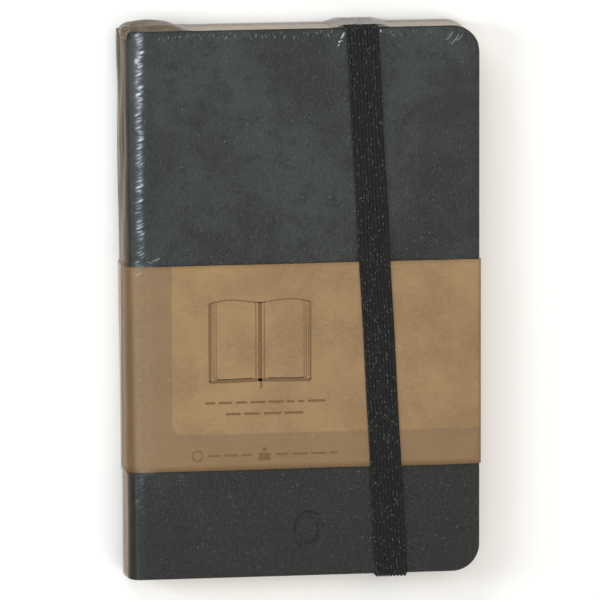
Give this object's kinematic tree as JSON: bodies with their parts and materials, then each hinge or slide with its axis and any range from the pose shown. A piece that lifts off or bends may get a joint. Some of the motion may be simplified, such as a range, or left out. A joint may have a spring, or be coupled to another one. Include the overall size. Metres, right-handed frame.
{
  "type": "pocket notebook",
  "caption": "Closed pocket notebook with leather-look covers, sewn page block, elastic strap closure and a kraft paper belly band.",
  "frame": {"origin": "middle of the footprint, on the surface that the closed notebook lies on, face up", "axes": "+X from the spine to the fore edge, +Y from the tail to the head, +Z out of the front cover"},
  "size_m": [0.0908, 0.1418, 0.0162],
  "materials": {
    "cover_skin": "satin, fine grain",
    "grey_board": "matte",
    "endpaper": "matte",
    "page_paper": "matte",
    "pocket_card": "matte",
    "lining_cloth": "matte",
    "linen_thread": "matte",
    "ribbon": "satin",
    "kraft": "matte, fibrous",
    "woven_elastic": "matte, ribbed",
    "clear_film": "clear, crinkled"
  },
  "bodies": {
    "back_cover": {"back_cover_skin": "cover_skin", "back_cover_board": "grey_board", "back_pastedown": "endpaper", "rear_pocket_panel": "pocket_card", "rear_pocket_head_gusset": "lining_cloth", "rear_pocket_tail_gusset": "lining_cloth", "elastic_head_anchor": "woven_elastic", "elastic_tail_anchor": "woven_elastic", "band_back_panel": "kraft"},
    "spine_block": {"spine_skin": "cover_skin", "spine_liner": "grey_board", "mull_lining": "lining_cloth", "band_spine_panel": "kraft", "ribbon_root": "ribbon", "ribbon_tail": "ribbon", "rear_flyleaf": "endpaper", "sewing_thread_1": "linen_thread", "sewing_thread_2": "linen_thread", "sewing_thread_3": "linen_thread", "sewing_thread_4": "linen_thread", "sewing_thread_5": "linen_thread", "section_03": "page_paper", "section_04": "page_paper", "section_05": "page_paper", "section_06": "page_paper", "section_07": "page_paper", "section_08": "page_paper", "section_09": "page_paper", "section_10": "page_paper"},
    "front_cover": {"front_cover_skin": "cover_skin", "front_cover_board": "grey_board", "front_pastedown": "endpaper", "band_front_panel": "kraft"},
    "front_flyleaf": {"front_flyleaf": "endpaper"},
    "first_section": {"section_01": "page_paper"},
    "second_section": {"section_02": "page_paper"},
    "elastic_strap": {"elastic_front_run": "woven_elastic", "elastic_head_leg": "woven_elastic", "elastic_tail_leg": "woven_elastic"}
  },
  "joints": [
    {"name": "back_cover_hinge", "type": "hinge", "parent": "back_cover", "child": "spine_block", "pos_m": [-0.045, 0, 0.0004], "axis": [0, 1, 0], "range_deg": [-90, 0]},
    {"name": "front_cover_hinge", "type": "hinge", "parent": "spine_block", "child": "front_cover", "pos_m": [-0.045, 0, 0.0149], "axis": [0, -1, 0], "range_deg": [0, 178]},
    {"name": "front_flyleaf_turn", "type": "hinge", "parent": "spine_block", "child": "front_flyleaf", "pos_m": [-0.045, 0, 0.0149], "axis": [0, -1, 0], "range_deg": [0, 176]},
    {"name": "first_section_turn", "type": "hinge", "parent": "spine_block", "child": "first_section", "pos_m": [-0.045, 0, 0.0149], "axis": [0, -1, 0], "range_deg": [0, 174]},
    {"name": "second_section_turn", "type": "hinge", "parent": "spine_block", "child": "second_section", "pos_m": [-0.045, 0, 0.0149], "axis": [0, -1, 0], "range_deg": [0, 172]},
    {"name": "elastic_release", "type": "slide", "parent": "back_cover", "child": "elastic_strap", "axis": [1, 0, 0], "range_m": [0, 0.034], "stiffness_N_per_m": 60, "deforming": ["elastic_front_run", "elastic_head_leg", "elastic_tail_leg"]}
  ],
  "couplings": [
    {"joint": "front_flyleaf_turn", "follows": "front_cover_hinge", "ratio": 0.985},
    {"joint": "first_section_turn", "follows": "front_cover_hinge", "ratio": 0.975},
    {"joint": "second_section_turn", "follows": "front_cover_hinge", "ratio": 0.965}
  ]
}
